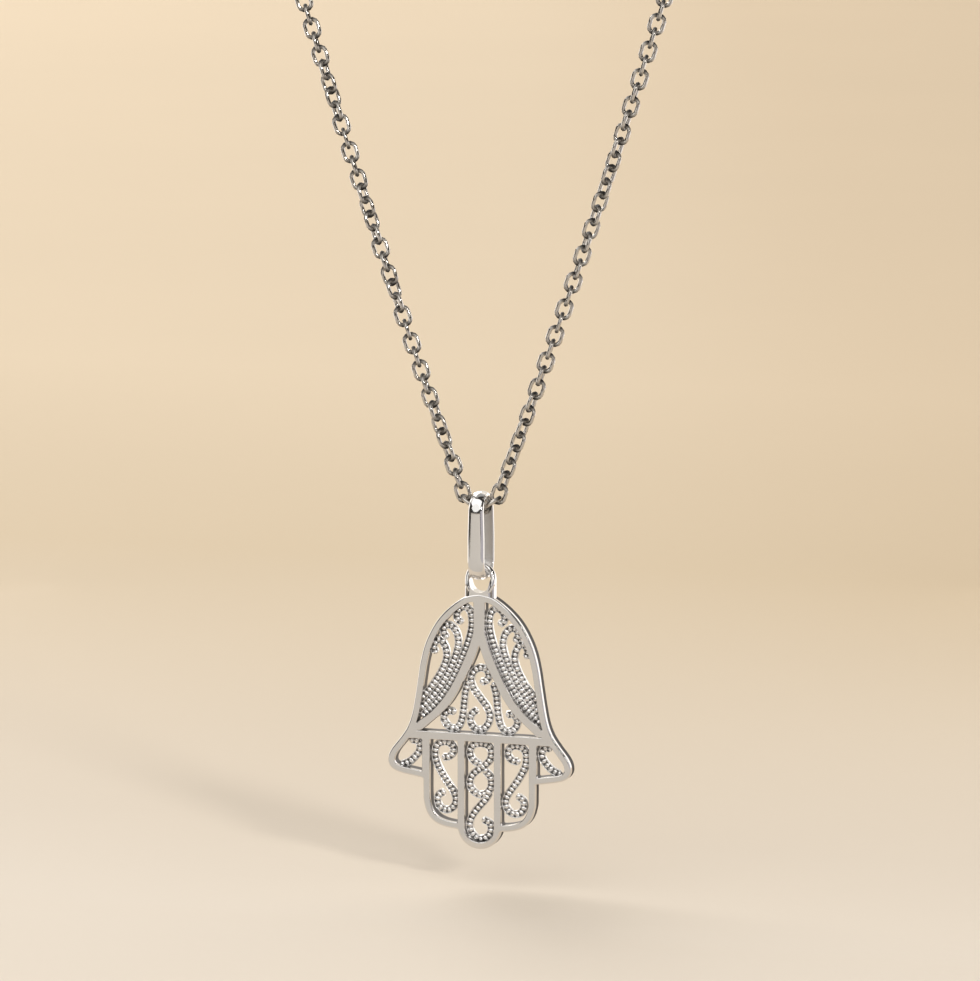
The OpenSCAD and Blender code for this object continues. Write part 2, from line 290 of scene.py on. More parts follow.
frame_silver = silver("frame silver", (0.80, 0.78, 0.76), (0.70, 0.68, 0.66),
                      rough=0.07, wave=0.02, hairline=0.0004)
bail_silver = silver("bail silver", (0.83, 0.81, 0.79), (0.76, 0.74, 0.72),
                     rough=0.05, wave=0.004, hairline=0.0003)
chain_silver = silver("chain silver", (0.66, 0.62, 0.57), (0.47, 0.43, 0.38),
                      rough=0.07, wave=0.0, hairline=0.0005, shade_tone=JOINT_SHADE_TONE)
print("finishes:", [m.name for m in (frame_silver, bail_silver, chain_silver)])

# %% [markdown]
# ## Silver of the scrolls
# The scrolls are bright on their beads. The narrow gaps between them are dull, as polishing never
# reaches them, and darkened with painted shade where the beads keep the light off the floor. The
# tree that makes the beads marks each part of the wire with an attribute: 0 on the beads and rails,
# 1 on the floor between them. The finish reads it to darken and roughen the floor.

# %% Silver that is dull and painted with shade in its gaps
BEAD_TONE = (0.92, 0.91, 0.90)
BEAD_DARK = (0.80, 0.79, 0.78)
RECESS_SHADE_TONE = (0.13, 0.125, 0.12)
BEAD_ROUGH, BEAD_CLOUD_ROUGH, RECESS_ROUGH = 0.2, 0.08, 0.2
BEAD_CLOUD_SIZE = 0.5
PIT_SIZE, PIT_DEPTH = 0.07, 0.004


def scroll_finish():
    """Bright beads, and a dull floor darkened with painted shade."""
    material, nodes = blank("scroll silver")
    place = millimetres(nodes)
    cloudy = speckle(nodes, place, BEAD_CLOUD_SIZE)
    pits = speckle(nodes, place, PIT_SIZE)
    recess = marked_on(nodes, "recess")
    surface(nodes, {
        "Base Color": nodes.mixed(recess, nodes.mixed(cloudy, BEAD_TONE, BEAD_DARK), RECESS_SHADE_TONE),
        "Metallic": 1.0,
        "Roughness": recess * RECESS_ROUGH + cloudy * BEAD_CLOUD_ROUGH + BEAD_ROUGH,
        "Normal": bumpy(nodes, pits * PIT_DEPTH)})
    return material


scroll_silver = scroll_finish()
print("the scrolls have a finish of their own")

# %% [markdown]
# ## From points to a piece
# Every piece ends as a plain mesh that lies where the rigid model has it, with its object at the
# origin. Two helpers do most of that work. One makes an object from points in millimetres. The
# other joins it to the body it moves with and hides the rigid nodes that it stands for.

# %% Making and joining pieces
def in_scene(name, data):
    """An object for a mesh, a camera or a light, put in the scene."""
    thing = bpy.data.objects.new(name, data)
    bpy.context.scene.collection.objects.link(thing)
    return thing


def new_piece(name, points, faces, material, rounded=True):
    """A mesh object from points in millimetres and faces."""
    mesh = bpy.data.meshes.new(name)
    mesh.from_pydata([Vector(p) * MM for p in points], [], faces)
    mesh.validate()
    mesh.materials.append(material)
    if rounded:
        mesh.shade_smooth()
    return in_scene(name, mesh)


def mark_dull_shade(piece, marks):
    """Keeps on each point how dull its silver is and how much painted shade darkens it, for the
    finish to read.
    """
    piece.data.attributes.new("wall", "FLOAT", "POINT").data.foreach_set("value", marks)


def join_body(piece, body, slot, *stands_for):
    """Makes a piece ride on a body, and hides the rigid nodes that it stands for."""
    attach(piece, body)
    if stands_for:
        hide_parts(*stands_for)
    triangles = sum(len(p.vertices) - 2 for p in piece.data.polygons)
    print(piece.name, "rides on", body, "with", triangles, "triangles")


def skin(rows, around, first=0, closed=False):
    """Faces between rows of points, when every row goes round in as many points."""
    faces = []
    for i in range(rows if closed else rows - 1):
        here, there = first + i * around, first + (i + 1) % rows * around
        for k in range(around):
            m = (k + 1) % around
            faces.append([here + k, there + k, there + m, here + m])
    return faces


def tube(path, radius, sides, closed):
    """Points and faces of a round wire along a path, with flat ends where it isn't closed."""
    points, count = [], len(path)
    for i, p in enumerate(path):
        before = path[i - 1] if closed or i > 0 else p
        after = path[(i + 1) % count] if closed or i < count - 1 else p
        along = (after - before).normalized()
        side = along.orthogonal() if i == 0 else side - along * side.dot(along)
        side.normalize()
        up = along.cross(side)
        for k in range(sides):
            a = 2 * pi * k / sides
            points.append(p + (side * cos(a) + up * sin(a)) * radius)
    faces = [[a, d, c, b] for a, b, c, d in skin(count, sides, 0, closed)]
    if not closed:
        faces.append(list(range(sides - 1, -1, -1)))
        faces.append(list(range((count - 1) * sides, count * sides)))
    return points, faces


print("helpers for pieces are ready")

# %% [markdown]
# ## The camera
# The photograph is taken with a long lens from a little to the right of the pendant and a little
# above it. The right walls of the frame show, and so does the inside of the bail's rear band. The
# camera comes before the pieces, because its place decides which of their details matter.

# %% Camera
VIEW_TURN = radians(17.0)
VIEW_RISE = radians(9.5)
VIEW_FAR = 520.0
SEEN_WIDTH = 82.24
SENSOR = 36.0
AIM_X, AIM_HEIGHT = 0.79, 30.73
looked_at = Vector((AIM_X, 0.0, HAND_Z + AIM_HEIGHT))
back = Vector((sin(VIEW_TURN) * cos(VIEW_RISE), -cos(VIEW_TURN) * cos(VIEW_RISE), sin(VIEW_RISE)))
camera_data = bpy.data.cameras.new("camera")
camera_data.sensor_width = SENSOR
camera_data.lens = SENSOR * VIEW_FAR / SEEN_WIDTH
camera_data.clip_start = 0.02
camera_data.clip_end = 20.0
camera = in_scene("camera", camera_data)
camera.location = (looked_at + back * VIEW_FAR) * MM
camera.rotation_euler = (-back).to_track_quat("-Z", "Y").to_euler()
bpy.context.scene.camera = camera
print("camera lens", round(camera_data.lens), "mm")

# %% [markdown]
# ## The outline of the hand
# The hand is sawn from a thick sheet. Its outline and the edges of its cells are drawn here as
# tables, each a few points of the right half, from the crown down. A smooth curve goes through the
# points, and a mirrored copy makes the left half, because the hand has two thumbs and looks the
# same on both sides.

# %% Tables of the outline
PALM = [
    (0.0, 21.95), (1.1, 21.72), (2.0, 21.18), (2.9, 20.42), (3.7, 19.5), (4.35, 18.4),
    (4.85, 17.2), (5.2, 15.8), (5.45, 14.2), (5.7, 12.6), (5.98, 11.2), (6.4, 10.1),
    (7.05, 9.15), (7.65, 8.4), (8.0, 7.75), (8.07, 7.1), (7.75, 6.55), (7.0, 6.22),
    (5.9, 6.02), (4.97, 5.86)]
OUTER_FINGER = [
    (4.95, 8.4), (4.95, 4.6), (4.88, 3.7), (4.6, 2.85), (4.05, 2.2), (3.3, 1.84),
    (2.4, 1.66), (1.5, 1.6)]
BRACE_OUT = [
    (0.5, 21.6), (0.5, 20.2), (0.5, 18.9), (0.72, 18.0), (1.03, 17.1), (1.48, 16.0),
    (1.94, 15.0), (2.46, 14.0), (3.1, 13.0), (3.92, 12.0), (4.7, 11.27), (5.35, 10.8), (6.1, 9.9)]
BRACE_IN = [
    (0.0, 17.6), (0.3, 16.7), (0.64, 15.9), (1.04, 15.1), (1.52, 14.2), (2.05, 13.2),
    (2.72, 12.2), (3.5, 11.4), (4.3, 10.7), (5.1, 10.0)]
BAR_LOW, BAR_HIGH, BAR_REACH = 9.25, 9.95, 7.1
DIVIDER_IN, DIVIDER_OUT = 1.3, 1.9
SIDE_IN, SIDE_OUT, SIDE_FOOT = 4.38, 5.05, 5.5
TIP_RAISE = 0.02
TIP_H = FINGER_R + TIP_RAISE
EDGE_CUTS, CURL_CUTS, TIP_CUTS = 4, 3, 64


def smooth(table, steps):
    """A smooth curve through the rows of a table, cut into a number of steps per row."""
    rows = [Vector(row) for row in table]
    curve = []
    for i in range(len(rows) - 1):
        a, b, c, d = rows[max(i - 1, 0)], rows[i], rows[i + 1], rows[min(i + 2, len(rows) - 1)]
        for k in range(steps):
            u = k / steps
            bend = (2 * a - 5 * b + 4 * c - d) * u * u + (3 * b - a - 3 * c + d) * u * u * u
            curve.append((2 * b + (c - a) * u + bend) / 2)
    return curve + [rows[-1]]


def flipped(curve):
    """The left half of a curve, from its last point back to its first."""
    return [Vector((-p.x, p.y)) for p in reversed(curve)]


palm_edge = smooth(PALM, EDGE_CUTS)
finger_edge = smooth(OUTER_FINGER, EDGE_CUTS)
palm = palm_edge + flipped(palm_edge)[:-1]
fingers = finger_edge + flipped(finger_edge)
tip_ring = [Vector((FINGER_R * cos(a), TIP_H + FINGER_R * sin(a)))
            for a in np.linspace(0, -2 * pi, TIP_CUTS, endpoint=False)]
print("palm", len(palm), "points, fingers", len(fingers), "points")

# %% [markdown]
# ## Sawing the cells
# A goldsmith scribes a rim inside the outline, draws the braces and bars across it and saws out
# what is left. The same is done here in the plane. Each shape is cut into triangles along every
# line that crosses it, a triangle is kept where there is metal, and the edges that only one kept
# triangle uses are the saw lines. Blender could also cut solid blocks with Boolean modifiers, but
# cutting in the plane is exact and leaves clean edges to round afterwards.

# %% Shapes in the plane
BLUNTEST = 0.4


def inset(loop, by):
    """A loop that runs clockwise, moved inwards by a distance."""
    moved = []
    for i, p in enumerate(loop):
        a = (p - loop[i - 1]).normalized()
        b = (loop[(i + 1) % len(loop)] - p).normalized()
        normal = Vector((a.y + b.y, -a.x - b.x))
        normal.normalize()
        moved.append(p + normal * by / max(BLUNTEST, normal.dot(Vector((a.y, -a.x)))))
    return moved


def block(x0, x1, z0, z1):
    """A rectangle."""
    return [Vector((x0, z0)), Vector((x0, z1)), Vector((x1, z1)), Vector((x1, z0))]


def holds(loop, spots):
    """Whether each spot lies inside a loop."""
    x, z = spots[:, 0], spots[:, 1]
    inside = np.zeros(len(spots), bool)
    for i, p in enumerate(loop):
        q = loop[i - 1]
        crosses = (p.y > z) != (q.y > z)
        rise = (q.y - p.y) or 1e-12
        inside ^= crosses & (x < (q.x - p.x) * (z - p.y) / rise + p.x)
    return inside


def any_holds(loops, spots):
    """Whether each spot lies inside one of several loops."""
    return np.any([holds(loop, spots) for loop in loops], axis=0)


brace_edge = smooth(BRACE_OUT, EDGE_CUTS) + smooth(BRACE_IN, EDGE_CUTS)[::-1]
brace = brace_edge + flipped(brace_edge)
sheet = [palm, fingers, tip_ring]
opened = [inset(loop, RIM_W) for loop in sheet]
bars = [brace, block(-BAR_REACH, BAR_REACH, BAR_LOW, BAR_HIGH)]
for side in (-1, 1):
    divider = sorted((side * DIVIDER_IN, side * DIVIDER_OUT))
    side_bar = sorted((side * SIDE_IN, side * SIDE_OUT))
    bars += [block(*divider, 0.0, BAR_HIGH), block(*side_bar, SIDE_FOOT, BAR_HIGH)]
print(len(sheet), "shapes make the sheet and", len(bars), "bars cross it")

# %% Saw lines
SAME_POINT = 1e-5


def sawn(metal):
    """The closed saw lines round the metal, longest first. metal says which spots are metal."""
    loops = sheet + opened + bars
    spots, edges = [], []
    for loop in loops:
        first = len(spots)
        spots += loop
        edges += [(first + i, first + (i + 1) % len(loop)) for i in range(len(loop))]
    points, _, triangles, *_ = delaunay_2d_cdt(spots, edges, [], 0, SAME_POINT)
    middles = np.array([sum((points[k] for k in t), Vector((0, 0))) / 3 for t in triangles])
    kept = [t for t, keep in zip(triangles, metal(middles)) if keep]
    sides = {(t[k], t[(k + 1) % 3]) for t in kept for k in range(3)}
    after = {a: b for a, b in sides if (b, a) not in sides}
    lines = []
    while after:
        start = next(iter(after))
        line, at = [], start
        while at in after:
            line.append(points[at])
            at = after.pop(at)
        lines.append(line)
    return sorted(lines, key=lambda line: -length(line))


def length(loop):
    """The length of a closed loop."""
    return sum((p - loop[i - 1]).length for i, p in enumerate(loop))


def is_metal(spots):
    """Where the pierced sheet has metal."""
    pierced = any_holds(opened, spots) & ~any_holds(bars, spots)
    return any_holds(sheet, spots) & ~pierced


saw_lines = sawn(is_metal)
print("the outline and its cells:", [round(length(line), 1) for line in saw_lines])

# %% [markdown]
# ## From saw lines to a thick frame
# A sawn edge is filed, so its corners are a little round, and the polished face meets the walls in
# a narrow rounded edge that catches the light. Each saw line is cut into even steps and eased, then
# swept back through the thickness of the sheet as a row of rings. A Bevel modifier could round the
# edge too, but with rings the exact direction of the surface is known at every point. It is given
# to the mesh, so that the flat face reflects like a flat mirror right up to its edge. The walls are
# polished at the front with the face, and the rest stays as the saw left it, dull, and is painted
# nearly black as painted shade. The walls of the outline and of the cells have their own edge
# radius, depth where the dull, shaded part starts, and strength of that painted shade.

# %% Filing the saw lines
# Edge radius, depth where the dull part starts, and how strongly that part is painted with shade.
OUTER_WALL = (0.15, -0.2, 1.0)
CELL_WALL = (0.075, -0.28, 0.88)
EDGE_STEPS = 4
DULL_FADE = 0.02
FILED_STEP, FEWEST_STEPS = 0.09, 24


def filed(loop, step=FILED_STEP, rounds=2):
    """A closed line in even steps, as an array, with its corners eased."""
    ring = np.array([p[:] for p in loop] + [loop[0][:]])
    along = np.concatenate([[0], np.cumsum(np.hypot(*np.diff(ring, axis=0).T))])
    stops = np.linspace(0, along[-1], max(FEWEST_STEPS, round(along[-1] / step)), endpoint=False)
    even = np.column_stack([np.interp(stops, along, ring[:, k]) for k in (0, 1)])
    for _ in range(rounds):
        even = (np.roll(even, 1, 0) + 2 * even + np.roll(even, -1, 0)) / 4
    return even


def into_metal(ring):
    """The direction from each point of a filed line into the metal, on the line's left."""
    way = np.roll(ring, -1, 0) - np.roll(ring, 1, 0)
    way /= np.hypot(*way.T)[:, None]
    return np.column_stack([-way[:, 1], way[:, 0]])


rings = [filed(line) for line in saw_lines]
print("filed lines have", sum(len(ring) for ring in rings), "points")

# %% Frame of the hand
def thick_frame():
    """Points, directions, faces and marks of painted shade on the walls of the pierced frame."""
    turns = [radians(90 * k / EDGE_STEPS) for k in range(EDGE_STEPS + 1)]
    points, ways, walls, faces, rims = [], [], [], [], []
    for ring in rings:
        edge_r, dull_from, mark = OUTER_WALL if ring is rings[0] else CELL_WALL
        front = [(edge_r * (1 - sin(a)), edge_r * (1 - cos(a)) - HAND_T / 2, a, -1) for a in turns]
        rows = front + [(0, dull_from - DULL_FADE, pi / 2, -1), (0, dull_from, pi / 2, -1)]
        rows += [(r, -y, a, 1) for r, y, a, _ in reversed(front)]
        left, count, first = into_metal(ring), len(ring), len(points)
        for depth_in, y, a, face_side in rows:
            # Deep in the walls the mark calls for dull silver and painted shade.
            walls += [mark if y >= dull_from and a >= turns[-1] else 0.0] * count
            for (x, z), (lx, lz) in zip(ring + left * depth_in, left):
                points.append((x, y, HAND_Z + z))
                ways.append((-lx * sin(a), face_side * cos(a), -lz * sin(a)))
        faces += skin(len(rows), count, first)
        rims.append((first, first + (len(rows) - 1) * count, count))
    faces += caps(points, rims)
    return points, ways, walls, faces


def caps(points, rims):
    """The front and back faces, in triangles between the rims."""
    loops = [[Vector((points[first + i][0], points[first + i][2], 0)) for i in range(count)]
             for first, _, count in rims]
    front = [first + i for first, _, count in rims for i in range(count)]
    rear = [last + i for _, last, count in rims for i in range(count)]
    flat = [p for loop in loops for p in loop]
    faces = []
    for a, b, c in tessellate_polygon(loops):
        if (flat[b] - flat[a]).cross(flat[c] - flat[a]).z < 0:
            b, c = c, b
        faces.append([front[a], front[b], front[c]])
        faces.append([rear[a], rear[c], rear[b]])
    return faces


frame_points, frame_ways, frame_shade_marks, frame_faces = thick_frame()
hand_frame = new_piece("hand_frame", frame_points, frame_faces, frame_silver)
hand_frame.data.normals_split_custom_set_from_vertices(frame_ways)
mark_dull_shade(hand_frame, frame_shade_marks)
join_body(hand_frame, "hand", "polished_silver", "hand")

# %% [markdown]
# ## Beaded scrolls
# Each cell holds curls of beaded wire: a row of wide beads that touch each other between two smooth
# rails, with dark pits at the corners where the beads part, where the floor is painted with shade.
# Hundreds of equal beads along curves are just what Geometry Nodes are for.
# The curls are drawn as plain lines in the plane. The tree sweeps the rails and the floor along
# them, sets a bead at every step, and stands the result up in the frame. The seed is fixed, so the
# beads vary a little in size as hand-made ones do, but in the same way each time.

# %% Middle lines of the scrolls
FINGER_SCROLL = [
    (3.3, 7.68), (2.85, 7.72), (2.45, 8.1), (2.42, 8.6), (2.85, 8.98), (3.4, 8.98),
    (3.9, 8.65), (4.03, 8.0), (3.92, 7.3), (3.6, 6.6), (3.15, 5.85), (2.65, 5.15),
    (2.27, 4.5), (2.2, 3.9), (2.5, 3.35), (3.05, 3.12), (3.6, 3.35), (3.83, 3.9),
    (3.72, 4.4), (3.3, 4.65)]
THUMB_SCROLL = [
    (6.95, 6.85), (6.3, 7.12), (5.83, 7.55), (5.45, 8.05), (5.37, 8.55), (5.63, 8.97),
    (6.12, 8.98)]
SIDE_SCROLL = [
    (2.35, 11.65), (2.85, 11.7), (3.2, 11.35), (3.22, 10.85), (2.87, 10.4), (2.3, 10.2),
    (1.85, 10.55), (1.62, 11.2), (1.5, 12.0), (1.42, 12.8), (1.33, 13.5), (1.12, 14.2)]
EIGHT_SCROLL = [
    (-0.05, 7.25), (-0.7, 7.6), (-0.95, 8.2), (-0.8, 8.75), (-0.35, 9.02), (0.35, 9.02),
    (0.8, 8.75), (0.95, 8.2), (0.75, 7.6), (0.3, 7.15), (-0.3, 6.7), (-0.8, 6.2),
    (-0.95, 5.6), (-0.75, 5.0), (-0.1, 4.62), (0.6, 4.85), (0.93, 5.5), (0.85, 6.2),
    (0.4, 6.7)]
TIP_SCROLL = [
    (0.75, 4.85), (0.45, 4.3), (0.0, 3.75), (-0.45, 3.2), (-0.85, 2.55), (-0.98, 1.9),
    (-0.75, 1.2), (-0.1, 0.78), (0.62, 1.05), (0.92, 1.65), (0.8, 2.2), (0.25, 2.48)]
HEART_SCROLL = [
    (0.1, 14.35), (0.5, 14.48), (0.74, 14.92), (0.56, 15.38), (0.1, 15.58),
    (-0.43, 15.4), (-0.78, 14.93), (-0.84, 14.35), (-0.65, 13.8), (-0.25, 13.25),
    (0.2, 12.7), (0.6, 12.15), (0.82, 11.55), (0.72, 10.9), (0.3, 10.35), (-0.2, 10.2),
    (-0.7, 10.48), (-0.92, 11.0), (-0.8, 11.55), (-0.35, 11.9)]
FRONDS = [
    [(5.1, 11.18), (4.8, 11.52), (4.08, 12.2), (3.31, 13.18), (2.68, 14.15),
     (2.18, 15.12), (1.75, 16.1), (1.28, 17.2), (1.0, 18.05), (0.79, 18.95),
     (0.78, 19.8), (0.95, 20.4), (1.42, 20.75), (1.88, 20.5), (2.12, 20.05),
     (2.03, 19.6), (1.7, 19.42)],
    [(5.2, 11.9), (4.57, 12.5), (3.78, 13.49), (3.17, 14.43), (2.69, 15.35),
     (2.27, 16.33), (1.97, 17.4), (2.0, 18.1), (2.2, 18.65), (2.57, 19.03),
     (2.97, 19.08), (3.27, 18.82), (3.28, 18.4), (3.05, 18.05)],
    [(5.1, 12.8), (4.24, 13.82), (3.66, 14.72), (3.21, 15.59), (2.98, 16.4),
     (3.08, 17.1), (3.35, 17.6), (3.7, 17.8), (4.02, 17.52), (4.15, 17.1), (4.0, 16.7)]]
both_halves = [FINGER_SCROLL, THUMB_SCROLL, SIDE_SCROLL] + FRONDS
one_only = [EIGHT_SCROLL, TIP_SCROLL, HEART_SCROLL]
curls = [smooth(table, CURL_CUTS) for table in both_halves + one_only]
curls += [flipped(smooth(table, CURL_CUTS)) for table in both_halves]
wire_length = sum(length(curl) - (curl[0] - curl[-1]).length for curl in curls)
print(len(curls), "curls of wire,", round(wire_length), "mm")

# %% A tree of geometry nodes
class Shaping(Nodes):
    """A geometry tree with named inputs, and the steps that such trees repeat."""

    def __init__(self, name, sizes):
        super().__init__(bpy.data.node_groups.new(name, "GeometryNodeTree"))
        face = self.tree.interface
        face.new_socket("Geometry", in_out="INPUT", socket_type="NodeSocketGeometry")
        for size in sizes:
            face.new_socket(size, in_out="INPUT", socket_type="NodeSocketFloat")
        face.new_socket("Finish", in_out="INPUT", socket_type="NodeSocketMaterial")
        face.new_socket("Geometry", in_out="OUTPUT", socket_type="NodeSocketGeometry")
        self.start = self.tree.nodes.new("NodeGroupInput")

    def given(self, name):
        """One of the tree's own inputs."""
        return Wire(self, self.start.outputs[name])

    def vector(self, **values):
        """A vector from wires for some of X, Y and Z."""
        return self.add("ShaderNodeCombineXYZ", None, values)

    def hoop(self, corners, radius):
        """A circle with a number of corners, and an input of the tree as its radius."""
        return self.add("GeometryNodeCurvePrimitiveCircle", {"mode": "RADIUS"},
                        {"Resolution": corners, "Radius": self.given(radius)})

    def stepped(self, line, step):
        """A line in even steps."""
        return self.add("GeometryNodeResampleCurve", {"mode": "LENGTH"},
                        {"Curve": line, "Length": step})

    def swept(self, line, section, capped=False):
        """A section swept along a line."""
        return self.add("GeometryNodeCurveToMesh", None,
                        {"Curve": line, "Profile Curve": section, "Fill Caps": capped})

    def moved(self, geometry, by=(0, 0, 0), turn=(0, 0, 0), scale=(1, 1, 1)):
        """A geometry that is scaled, turned and then moved."""
        return self.add("GeometryNodeTransform", None, {
            "Geometry": geometry, "Translation": by, "Rotation": Euler(turn), "Scale": scale})

    def merged(self, *several):
        """Several geometries as one."""
        return self.add("GeometryNodeJoinGeometry", None, {"Geometry": list(several)})

    def marked(self, geometry, name, value):
        """A geometry that keeps a value on its points under a name."""
        return self.add("GeometryNodeStoreNamedAttribute",
                        {"data_type": "FLOAT", "domain": "POINT"},
                        {"Geometry": geometry, "Name": name, "Value": value})

    def repeated(self, points, thing, turn, scale=(1, 1, 1)):
        """The same thing on every point."""
        return self.add("GeometryNodeInstanceOnPoints", None, {
            "Points": points, "Instance": thing, "Rotation": turn, "Scale": scale})

    def rounded(self, geometry):
        """A geometry that is shaded smooth."""
        return self.add("GeometryNodeSetShadeSmooth", None, {"Geometry": geometry})

    def end(self, geometry):
        """The last step: real meshes with their finish."""
        real = self.add("GeometryNodeRealizeInstances", None, {"Geometry": geometry})
        done = self.add("GeometryNodeSetMaterial", None,
                        {"Geometry": real, "Material": self.given("Finish")})
        self.add("NodeGroupOutput", None, {"Geometry": done})


def shaped(piece, shaping, values):
    """Runs a tree on a piece with these inputs, and keeps the result as a plain mesh."""
    modifier = piece.modifiers.new("shaping", "NODES")
    modifier.node_group = shaping.tree
    for socket in shaping.tree.interface.items_tree:
        if socket.in_out == "INPUT" and socket.name in values:
            modifier[socket.identifier] = values[socket.name]
    ready = piece.evaluated_get(bpy.context.evaluated_depsgraph_get())
    mesh = bpy.data.meshes.new_from_object(ready)
    piece.modifiers.clear()
    piece.data = mesh
    return piece


def lines_object(name, paths):
    """An object whose mesh is only lines in the plane, for a tree to work on."""
    points, edges = [], []
    for path in paths:
        first = len(points)
        points += [(p.x * MM, p.y * MM, 0.0) for p in path]
        edges += [(first + i, first + i + 1) for i in range(len(path) - 1)]
    mesh = bpy.data.meshes.new(name)
    mesh.from_pydata(points, edges, [])
    return in_scene(name, mesh)


print("trees can be written and run")

# %% Sizes of the beaded wire
BEADED_WIRE = {
    "Pitch": 0.41, "Bead radius": 0.22, "Rail offset": 0.29, "Rail radius": 0.055,
    "Floor width": 0.56, "Floor depth": 0.12, "Height": HAND_Z}
BEAD_SHAPE = {"Bead breadth": 1.32, "Bead depth": 1.0}
RAIL_HEIGHT = 3.6
RAIL_SIDES, BEAD_SEGMENTS, BEAD_RINGS = 8, 8, 6
SMALLEST_BEAD, LARGEST_BEAD = 0.88, 1.08
BEAD_SEED = 7
print("a bead every", BEADED_WIRE["Pitch"], "mm")

# %% Tree of the beaded wire
beading = Shaping("beaded wire", [*BEADED_WIRE, *BEAD_SHAPE])
given = beading.given
wire_line = beading.add("GeometryNodeMeshToCurve", None, {"Mesh": given("Geometry")})
in_plane = beading.add("GeometryNodeSetCurveNormal", {"mode": "Z_UP"},
                       {"Curve": beading.stepped(wire_line, given("Pitch") * 0.5)})
rail = beading.hoop(RAIL_SIDES, "Rail radius")
rails = [beading.moved(rail, beading.vector(X=given("Rail offset") * side),
                       scale=(1, RAIL_HEIGHT, 1)) for side in (-1, 1)]
both_rails = beading.swept(in_plane, beading.merged(*rails), True)
bar = beading.add("GeometryNodeCurvePrimitiveQuadrilateral", {"mode": "RECTANGLE"},
                  {"Width": given("Floor width"), "Height": given("Floor depth")})
# The floor between the beads is marked for painted shade.
floor_strip = beading.marked(beading.swept(in_plane, bar, True), "recess", 1.0)
ball = beading.add("GeometryNodeMeshUVSphere", None, {
    "Segments": BEAD_SEGMENTS, "Rings": BEAD_RINGS, "Radius": given("Bead radius")})
grow = beading.add("FunctionNodeRandomValue", {"data_type": "FLOAT"},
                   {2: SMALLEST_BEAD, 3: LARGEST_BEAD, "Seed": BEAD_SEED}, 1)
bead_scale = beading.vector(X=grow, Y=grow * given("Bead breadth"), Z=grow * given("Bead depth"))
tangent = beading.add("GeometryNodeInputTangent")
on_wire = beading.add("FunctionNodeAlignRotationToVector", {"axis": "X"}, {"Vector": tangent})
beads = beading.repeated(beading.stepped(wire_line, given("Pitch")), ball, on_wire, bead_scale)
lying = beading.merged(beading.rounded(beading.merged(both_rails, beads)), floor_strip)
beading.end(beading.moved(lying, beading.vector(Z=given("Height")), (pi / 2, 0, 0)))
print("the tree of the beaded wire has", len(beading.tree.nodes), "nodes")

# %% The scrolls
in_metres = {name: size * MM for name, size in BEADED_WIRE.items()}
hand_scrolls = shaped(lines_object("hand_scrolls", curls), beading,
                      {**in_metres, **BEAD_SHAPE, "Finish": scroll_silver})
join_body(hand_scrolls, "hand", "polished_silver")

# %% [markdown]
# ## The loop on the crown
# A ring of round wire is soldered on the crown, and the bail hangs in it. Its legs run straight
# into the frame, and solder fills the space under its lower half, so the opening under the bail is
# round. A path with a round section swept along it gives the wire. The solder is a closed block
# whose upper side, the brim, follows the inside of the ring. All of it gets deeper from front to
# back towards the crown, as the foot of a real loop does.

# %% Sizes of the loop
RING_LOW = 22.9
RING_STEPS = 25
WIRE_CORNERS = 16
FOOT, LEG_L = 21.3, 1.9
BRIM_IN_WIRE = 0.02
BRIM_R = LOOP_R - LOOP_WIRE_R + BRIM_IN_WIRE
BRIM_ENDS = [(LOOP_R, 23.5), (0.93, 23.15)]
DEEP = 1.25
DEEP_FROM, DEEP_OVER = LOOP_H + 0.7, 1.4
SHARP = radians(50)


def arc(x, z, radius, first, last, steps):
    """Points of an arc in the XZ plane, angles in degrees."""
    angles = np.radians(np.linspace(first, last, steps))
    return [Vector((x + radius * cos(a), 0.0, z + radius * sin(a))) for a in angles]


def joined(*parts):
    """Points and faces of several parts as one list of each."""
    points, faces = [], []
    for more_points, more_faces in parts:
        faces += [[len(points) + k for k in face] for face in more_faces]
        points += more_points
    return points, faces


def deepened(points):
    """The points of the loop, spread front to back more and more towards the crown."""
    spread = []
    for p in points:
        low = min(1.0, max(0.0, (HAND_Z + DEEP_FROM - p[2]) / DEEP_OVER))
        spread.append((p[0], p[1] * (1 + DEEP * low * low * (3 - 2 * low)), p[2]))
    return spread


def solder():
    """Points and faces of the block of solder, four points at each step along its brim."""
    left = [Vector((-x, 0, HAND_Z + z)) for x, z in BRIM_ENDS]
    right = [Vector((x, 0, HAND_Z + z)) for x, z in reversed(BRIM_ENDS)]
    brim = left + arc(0, HAND_Z + RING_LOW, BRIM_R, 180, 360, RING_STEPS) + right
    front, rear, foot = -LOOP_WIRE_R, LOOP_WIRE_R, HAND_Z + FOOT
    points = [(p.x, y, z) for p in brim
              for y, z in ((front, foot), (front, p.z), (rear, p.z), (rear, foot))]
    ends = [[0, 1, 2, 3], [len(points) - k for k in (1, 2, 3, 4)]]
    return points, skin(len(brim), 4) + ends


print("the loop stands", round(LOOP_H + LOOP_R + LOOP_WIRE_R - PALM[0][1], 2), "mm over the crown")

# %% Loop of the hand
oval = arc(0, HAND_Z + LOOP_H, LOOP_R, 0, 180, RING_STEPS)
oval += arc(0, HAND_Z + RING_LOW, LOOP_R, 180, 360, RING_STEPS)
loop_parts = [tube(oval, LOOP_WIRE_R, WIRE_CORNERS, True), solder()]
for side in (-1, 1):
    foot = Vector((side * LOOP_R, 0, HAND_Z + FOOT))
    leg = [foot, foot + Vector((0, 0, LEG_L))]
    loop_parts.append(tube(leg, LOOP_WIRE_R, WIRE_CORNERS, False))
loop_points, loop_faces = joined(*loop_parts)
hand_loop = new_piece("hand_loop", deepened(loop_points), loop_faces, bail_silver)
hand_loop.data.set_sharp_from_angle(angle=SHARP)
join_body(hand_loop, "hand", "polished_silver")
